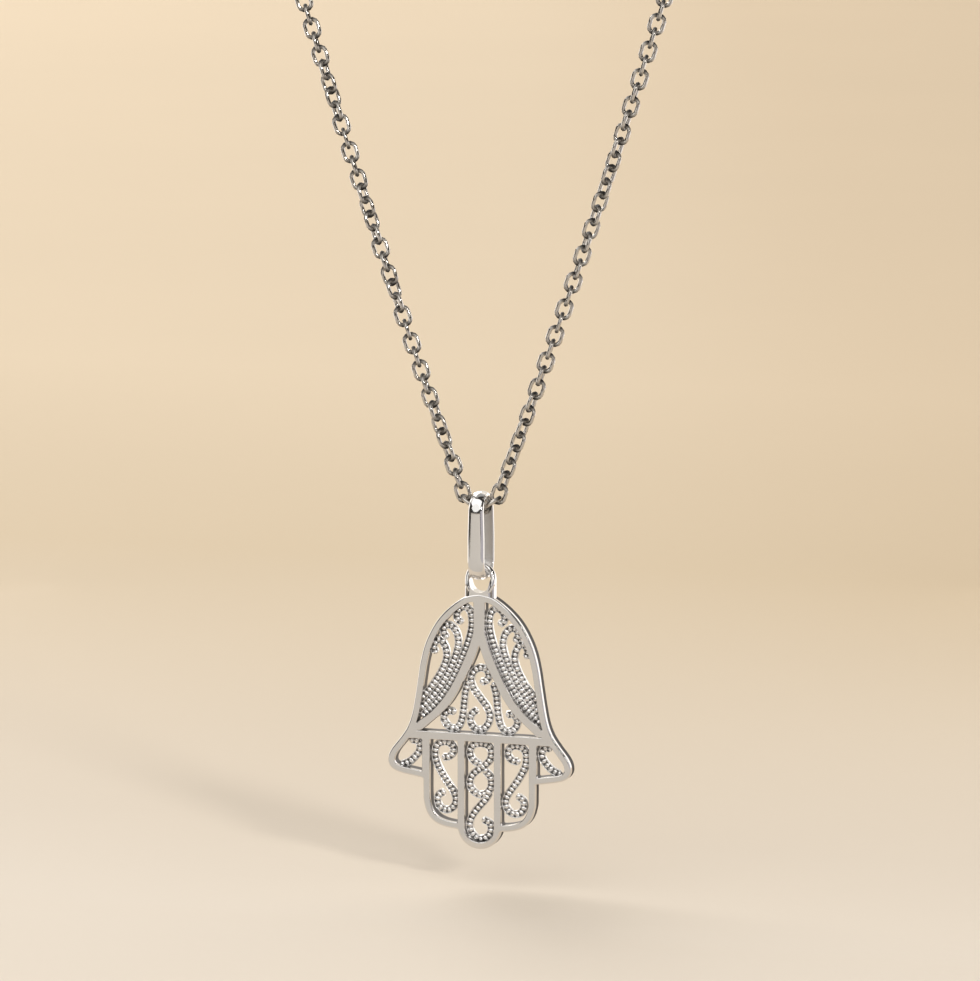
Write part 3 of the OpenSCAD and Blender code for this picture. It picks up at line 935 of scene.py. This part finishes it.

# %% [markdown]
# ## The bail
# The bail is a band bent into a long oval. Its outside is domed and its edges are rounded, its
# inside is flat, and it narrows towards the top, where it rests on the chain. The section is a
# short list of points across the band, and the oval carries it round. Each point is drawn in or out
# to fit the outline that the bail shows from the front. The inside is half dull, because a
# polishing wheel hardly reaches it, and darkened with painted shade.

# %% Bail
CORNER_W, CORNER_H = 0.3, 0.34
# How far the inside of the band is dulled and darkened with painted shade.
INSIDE_SHADE, INSIDE_DEPTH = 0.35, 0.01
TURN_STEPS, SIDE_STEPS = 28, 8
SECTION = [
    (0.0, 0.45), (0.2, 0.444), (0.4, 0.424), (0.6, 0.391), (0.74, 0.357), (0.84, 0.32),
    (0.92, 0.27), (0.975, 0.205), (1.0, 0.14), (0.99, 0.07), (0.95, 0.02), (0.87, 0.0),
    (0.6, 0.0), (0.3, 0.0), (0.0, 0.0)]


def half_width(z):
    """Half the width of the band at a height above the middle of the bail."""
    if z > 0:
        return (BAIL_W + (BAIL_TOP_W - BAIL_W) * z / (BAIL_H / 2)) / 2
    corner = min(1.0, max(0.0, (-z - BAIL_H / 2 + CORNER_H) / CORNER_H))
    return BAIL_W / 2 - CORNER_W * (1 - sqrt(1 - corner ** 2))


def band():
    """Points, faces and marks of painted shade of the bail."""
    across = SECTION + [(-u, t) for u, t in SECTION[-2:0:-1]]
    stations = []
    for end_z, first in ((bail_straight / 2, 0), (-bail_straight / 2, 180)):
        for a in np.radians(np.linspace(first, first + 180, TURN_STEPS + 1)):
            stations.append((end_z, cos(a), sin(a)))
        for k in range(1, SIDE_STEPS):
            way_down = 1 - 2 * k / SIDE_STEPS
            stations.append((end_z * way_down, cos(radians(first + 180)), 0.0))
    points, walls = [], []
    for station_z, out_y, out_z in stations:
        for u, t in across:
            reach = bail_in_r + t
            z = station_z + out_z * reach
            points.append((u * half_width(z), out_y * reach, bail_mid + z))
            walls.append(INSIDE_SHADE if t < INSIDE_DEPTH else 0.0)
    return points, skin(len(stations), len(across), 0, True), walls


band_points, band_faces, band_shade_marks = band()
bail = new_piece("bail_band", band_points, band_faces, bail_silver)
mark_dull_shade(bail, band_shade_marks)
join_body(bail, "bail", "polished_silver", "bail")

# %% [markdown]
# ## The chain
# A cable chain is one link repeated, each turned a quarter against the last. Every link has a place
# and a turn of its own, because a hanging chain twists a little, and the twist must agree with the
# rigid model so that no links touch. Those are worked out here and kept on the points of a mesh. A
# tree of nodes sets the same small link on every point. The ends of a link, where it hangs in its
# neighbours, are marked and painted nearly black: painted shade where the links meet, with tarnish.

# %% Where each link lies
TWIST_RIGHT = [
    (0, 0), (2, 0), (3, -17), (4, -25), (6, -25), (8, -16), (10, -2), (12, 6), (15, 14),
    (18, 18), (20, 28), (23, 38), (24, 42), (26, 60), (28, 74), (30, 86), (33, 98), (36, 106),
    (60, 107)]
TWIST_LEFT = [
    (0, 0), (2, 0), (3, 8), (4, 22), (5, 43), (6, 58), (7, 70), (9, 92), (11, 105), (15, 110),
    (16, 130), (18, 176), (20, 200), (22, 238), (24, 262), (26, 285), (29, 292), (30, 311),
    (32, 341), (34, 368), (36, 376), (60, 377)]
LAST_RIGHT = (184, 3.13)
LAST_LEFT = (183, 5.66)


def run_of(i, last, beyond):
    """Length along the middle line at the middle of link i, past the bent links."""
    front = (FRONT_LINKS - 2.5) * LINK_PITCH
    if i <= FRONT_LINKS:
        return (i - 2.5) * LINK_PITCH
    return front + (HANG_L + ARC_L - beyond - front) * (i - FRONT_LINKS) / (last - FRONT_LINKS)


def link_places(side, last, beyond, twists):
    """Middle and turn of each link on one side of the bail."""
    places = []
    for i in range(1, last + 1):
        if i <= 2:
            x, z, slope = BENT_LINKS[i - 1]
        else:
            s = run_of(i, last, beyond)
            low, high = on_chain(s - LINK_PITCH / 2), on_chain(s + LINK_PITCH / 2)
            x, z = (low + high) / 2
            slope = degrees(atan2(high.y - low.y, high.x - low.x))
        twist = np.interp(i, [t[0] for t in twists], [t[1] for t in twists])
        turn = Matrix.Rotation(radians(side * (90 - slope)), 3, "Y")
        turn = turn @ Matrix.Rotation(radians((i % 2) * 90 + twist), 3, "Z")
        places.append(((side * x, 0.0, LINK_Z + z), turn.to_euler()))
    return places


across_bail = Matrix.Rotation(radians(90), 3, "Y").to_euler()
links = [((0.0, 0.0, LINK_Z), across_bail)]
links += link_places(1, *LAST_RIGHT, TWIST_RIGHT) + link_places(-1, *LAST_LEFT, TWIST_LEFT)
print(len(links), "links")

# %% Sizes of the small link
LINK_CORNERS = 14
WIRE_SIDES = 6
SIX_SIDED_R = 0.18
LINK_INSET = 0.16
TAUT = 0.02
JOINT_SHADE_FROM, JOINT_SHADE_FULLY = 0.5, 0.75
print("a link has", 2 * LINK_CORNERS * WIRE_SIDES, "triangles")

# %% Tree of the chain
linking = Shaping("cable chain", ["Ring radius", "Straight", "Wire radius"])
hoop = linking.moved(linking.hoop(LINK_CORNERS, "Ring radius"), turn=(0, 0, pi / LINK_CORNERS))
up_link = linking.along_axis(linking.add("GeometryNodeInputPosition"), "Y")
half = up_link.maths("SIGN", up_link, 0.0)
apart = linking.vector(Y=half * linking.given("Straight") * 0.5)
oblong = linking.add("GeometryNodeSetPosition", None, {"Geometry": hoop, "Offset": apart})
bent = linking.swept(oblong, linking.hoop(WIRE_SIDES, "Wire radius"))
# The ends of each link are marked for painted shade where the links meet.
from_middle = up_link.maths("ABSOLUTE", up_link, 0.0)
joint_shade = linking.eased(from_middle, JOINT_SHADE_FROM * MM, JOINT_SHADE_FULLY * MM)
upright = linking.moved(linking.marked(bent, "wall", joint_shade), turn=(pi / 2, 0, 0))
kept_turn = linking.add("GeometryNodeInputNamedAttribute", {"data_type": "FLOAT_VECTOR"},
                        {"Name": "turn"})
rotation = linking.add("FunctionNodeEulerToRotation", None, {"Euler": kept_turn})
linking.end(linking.rounded(linking.repeated(linking.given("Geometry"), upright, rotation)))
print("the tree of the chain has", len(linking.tree.nodes), "nodes")

# %% The chain
def points_object(name, places):
    """An object whose mesh is only points, with a turn kept on each."""
    mesh = bpy.data.meshes.new(name)
    mesh.from_pydata([Vector(spot) * MM for spot, _ in places], [], [])
    turns = mesh.attributes.new("turn", "FLOAT_VECTOR", "POINT")
    turns.data.foreach_set("vector", [a for _, euler in places for a in euler])
    return in_scene(name, mesh)


chain = shaped(points_object("cable_chain", links), linking, {
    "Ring radius": (LINK_W / 2 - LINK_INSET) * MM,
    "Straight": (LINK_INNER_L + 2 * LINK_WIRE_D - LINK_W - TAUT) * MM,
    "Wire radius": SIX_SIDED_R * MM, "Finish": chain_silver})
join_body(chain, "necklace", "chain_silver", "chain_front", "chain_back")

# %% [markdown]
# ## The clasp
# The chain closes over the top with a plain ring and an eye, and the end ring hangs in the ring.
# They are out of the photograph, so they stay as plain as the rigid model has them, but smooth.

# %% Clasp and end ring
CLASP_X = -1.15
EYE_R, EYE_WIRE_R = 0.75, 0.25
END_R, END_WIRE_R = 1.35, 0.3
EYE_IN_TUBE = 0.1
CLASP_STEPS, CLASP_SIDES = 48, 16
EYE_STEPS, EYE_SIDES = 32, 12
END_STEPS, END_SIDES = 40, 14
eye_x = CLASP_X - CLASP_R - CLASP_TUBE_R - EYE_R + EYE_IN_TUBE
end_x = CLASP_X + CLASP_R - CLASP_TUBE_R - GAP - END_WIRE_R + END_R


def circle(x, radius, steps):
    """Points of a circle about a place on the X axis."""
    return arc(x, 0, radius, 0, 360 - 360 / steps, steps)


clasp_ring = tube(circle(CLASP_X, CLASP_R, CLASP_STEPS), CLASP_TUBE_R, CLASP_SIDES, True)
clasp_eye = tube(circle(eye_x, EYE_R, EYE_STEPS), EYE_WIRE_R, EYE_SIDES, True)
clasp = new_piece("clasp_ring", *joined(clasp_ring, clasp_eye), chain_silver)
join_body(clasp, "necklace", "chain_silver", "clasp")
flat_ring = [Vector((p.x, p.z, 0)) for p in circle(end_x, END_R, END_STEPS)]
end_wire = tube(flat_ring, END_WIRE_R, END_SIDES, True)
end_ring = new_piece("end_ring_wire", *end_wire, chain_silver)
join_body(end_ring, "necklace", "chain_silver", "end_ring")

# %% [markdown]
# ## The floor
# The pendant hangs just above a seamless pale sheet of warm paper. The camera looks down at it, so
# the sheet fills the whole picture. It is one large face with a fine grain. Its colour is cooler in
# front of the pendant and warmer behind it and changes in brightness from front to back, and it is
# darker on the right far behind: this is painted light and shade. Like all of the studio it isn't
# part of the pendant.

# %% Paper
# The paper's tones from front to back are painted light and shade, as the lights fall on it.
PAPER_PAINTED_LIGHT = [
    (-20, (0.70, 0.62, 0.52)), (20, (0.66, 0.57, 0.46)), (150, (0.67, 0.54, 0.37)),
    (280, (0.76, 0.62, 0.44))]
PAPER_RIGHT_SHADE = (0.95, 0.93, 0.90)
RIGHT_TURN, RIGHT_FADE = radians(17.0), 65.0
BACK_FROM, BACK_FULLY = 50.0, 160.0
BLOTCH_SIZE, BLOTCH_TONE = 60, (0.97, 0.97, 0.97)
GRAIN_SIZE, GRAIN_DEPTH = 1.2, 0.02
MATT_ROUGH = 0.85
FLOOR_Z = HAND_Z - 3.3
FLOOR_REACH = 4000


def matt(name, tones, right_shade=(1, 1, 1)):
    """A matt finish. tones lists colours by their place from front to back, in millimetres.

    On the right, far behind the pendant, the colours are multiplied by a darker tone: painted
    shade.
    """
    material, nodes = blank(name)
    place = millimetres(nodes)
    x, y = (nodes.along_axis(place, axis) for axis in "XY")
    near, far = tones[0][0], tones[-1][0]
    # The tones from front to back, as given for the paper, are painted light and shade.
    stops = [((spot - near) / (far - near), (*colour, 1)) for spot, colour in tones]
    depth = (y - near) * (1 / (far - near))
    ramp = nodes.add("ShaderNodeValToRGB", {"stops": stops}, {"Fac": depth})
    blotch = speckle(nodes, place, BLOTCH_SIZE, 3.0)
    uneven = nodes.mixed(blotch, ramp, BLOTCH_TONE, "MULTIPLY")
    # Painted shade: the colour is darker on the right, far behind the pendant.
    to_right = nodes.eased(x * cos(RIGHT_TURN) + y * sin(RIGHT_TURN), 0.0, RIGHT_FADE)
    to_back = nodes.eased(y, BACK_FROM, BACK_FULLY)
    surface(nodes, {
        "Base Color": nodes.mixed(to_right * to_back, uneven, right_shade, "MULTIPLY"),
        "Roughness": MATT_ROUGH,
        "Normal": bumpy(nodes, speckle(nodes, place, GRAIN_SIZE) * GRAIN_DEPTH)})
    return material


def sheet_of(name, corners, material):
    """A flat sheet of the studio, by its corners."""
    board = new_piece(name, corners, [list(range(len(corners)))], material, False)
    return board


def level(x0, x1, y0, y1, z):
    """The corners of a rectangle that lies flat."""
    return [(x0, y0, z), (x1, y0, z), (x1, y1, z), (x0, y1, z)]


sheet_of("floor", level(-FLOOR_REACH, FLOOR_REACH, -FLOOR_REACH, FLOOR_REACH, FLOOR_Z),
         matt("warm paper", PAPER_PAINTED_LIGHT, PAPER_RIGHT_SHADE))
print("the floor is", round(HAND_Z - FLOOR_Z, 1), "mm under the hand")

# %% [markdown]
# ## What the metal mirrors
# Polished metal looks like what stands round it, so whoever photographs jewellery sets up cards
# for it to mirror. A grey card lies in front of the pendant, and the flat face of the hand shows
# it as a calm grey. Black flags draw dark lines along the rounded edges. Bright cards light the
# side walls and the bail's dome. Only the metal sees the cards: the camera and the paper don't.

# %% Places and finishes of the cards
PENDANT_MIDDLE = Vector((0, 0, HAND_Z + 24))
CARD_Z = HAND_Z - 8.0
DISC_CORNERS = 32


def from_side(turn, rise, far):
    """A place seen from the pendant under a turn from the front and a rise above level."""
    a, e = radians(turn), radians(rise)
    return PENDANT_MIDDLE + Vector((sin(a) * cos(e), -cos(a) * cos(e), sin(e))) * far


def card(name, tone):
    """A matt finish of one tone."""
    return matt(name, [(-600, tone), (600, tone)])


def glow(name, colour):
    """A finish that gives light of its own and mirrors nothing."""
    material, nodes = blank(name)
    surface(nodes, {"Base Color": (0, 0, 0, 1), "Roughness": 1.0, "Emission Color": (*colour, 1),
                    "Emission Strength": 1.0})
    return material


def standing(far, first, last, foot, top):
    """The corners of an upright card, between two turns from the front and two heights."""
    ends = [(far * sin(radians(a)), -far * cos(radians(a))) for a in (first, last)]
    return [(*ends[0], CARD_Z + foot), (*ends[1], CARD_Z + foot), (*ends[1], CARD_Z + top),
            (*ends[0], CARD_Z + top)]


def disc(far, turn, rise, reach, height):
    """The corners of an oval card that faces the pendant from a turn and a rise."""
    centre = from_side(turn, rise, far)
    across = Vector((cos(radians(turn)), sin(radians(turn)), 0))
    up = across.cross(centre - PENDANT_MIDDLE).normalized()
    return [centre + across * reach * cos(a) + up * height * sin(a)
            for a in np.linspace(0, 2 * pi, DISC_CORNERS, endpoint=False)]


def only_mirrored(board):
    """Lets the metal mirror a sheet that neither the camera nor the lights see."""
    board.visible_camera = False
    board.visible_diffuse = False
    board.visible_shadow = False


print("cards stand round", PENDANT_MIDDLE[:])

# %% The cards
grey = card("grey card", (0.57, 0.54, 0.50))
black = card("black flag", (0.03, 0.028, 0.026))
grey_light = glow("grey light", (0.52, 0.50, 0.53))
white_light = glow("white light", (1.5, 1.45, 1.4))
front_light = glow("front light", (1.1, 1.1, 1.08))
CARDS = [
    ("front_card", grey, level(-420, 160, -520, -15, FLOOR_Z + 0.5)),
    ("left_flag", black, standing(150, -46, -84, 9, 130)),
    ("bail_flag", black, standing(140, 20, 50, 11.5, 62)),
    ("right_flag", black, standing(170, 45, 95, 62, 130)),
    ("right_grey", grey_light, standing(150, 18, 92, 1, 60)),
    ("right_white", white_light, standing(150, 98, 176, 1, 80)),
    ("left_white", white_light, standing(150, -88, -145, 1, 90)),
    ("front_white", front_light, disc(300, -14, 27, 150, 120))]
for name, finish, corners in CARDS:
    only_mirrored(sheet_of(name, corners, finish))
print("cards:", [row[0] for row in CARDS])

# %% [markdown]
# ## The lights
# Wide soft lights hang in front of the pendant, behind it and on its left, and the widest lights
# the paper far behind. Rounded metal shows them as white patches and lines. One small light, low on
# the right of the front, gives the soft shadow on the paper. Round all this the world is dark where
# the metal faces the camera's side of the room, and pale behind the pendant.

# %% Lights
def soft_light(name, place, aim, size, power, colour):
    """A flat rectangular light that faces a point, all in millimetres."""
    data = bpy.data.lights.new(name, "AREA")
    data.shape = "RECTANGLE"
    data.size, data.size_y = size[0] * MM, size[1] * MM
    data.energy = power
    data.color = colour
    light = in_scene(name, data)
    light.location = Vector(place) * MM
    ray = Vector(aim) - Vector(place)
    light.rotation_euler = ray.to_track_quat("-Z", "Y").to_euler()
    light.visible_camera = False


SOFT_TONE, SIDE_TONE, KEY_TONE = (1, 0.99, 0.97), (1, 0.98, 0.96), (1, 0.98, 0.95)
FAR_PAPER = (-250, 850, -230)
LIGHTS = [
    ("front_soft", from_side(-12, 50, 640), PENDANT_MIDDLE, (900, 700), 2.6, SOFT_TONE),
    ("rear_soft", from_side(-150, 62, 640), PENDANT_MIDDLE, (900, 440), 0.45, SOFT_TONE),
    ("far_soft", (-850, 950, 640), FAR_PAPER, (1500, 1000), 17.0, SIDE_TONE),
    ("left_soft", from_side(-70, 50, 640), PENDANT_MIDDLE, (300, 300), 0.3, SIDE_TONE),
    ("low_key", from_side(49, 24.5, 760), PENDANT_MIDDLE, (110, 110), 2.5, KEY_TONE)]
for row in LIGHTS:
    soft_light(*row)
print("lights:", [row[0] for row in LIGHTS])

# %% Surroundings
ROOM_TONE = (0.05, 0.047, 0.045)
PALE_TONE = (0.95, 0.88, 0.78)
SEEN_TONE = (0.80, 0.66, 0.48)
PALE_FROM, PALE_FULLY = 0.45, 0.8
world = bpy.data.worlds.new("room")
world.use_nodes = True
world.node_tree.nodes.clear()
room = Nodes(world.node_tree)
seen = room.add("ShaderNodeLightPath", None, None, "Is Camera Ray")
to_rear = room.along_axis(room.add("ShaderNodeTexCoord", out="Generated"), "Y")
around = room.mixed(room.eased(to_rear, PALE_FROM, PALE_FULLY), ROOM_TONE, PALE_TONE)
tint = room.mixed(seen, around, SEEN_TONE)
glimmer = room.add("ShaderNodeBackground", None, {"Color": tint, "Strength": 1.0})
room.add("ShaderNodeOutputWorld", None, {"Surface": glimmer})
bpy.context.scene.world = world
bpy.context.scene.view_settings.view_transform = "Standard"
bpy.context.scene.view_settings.look = "None"
print("the room is dark, and the camera sees it pale")
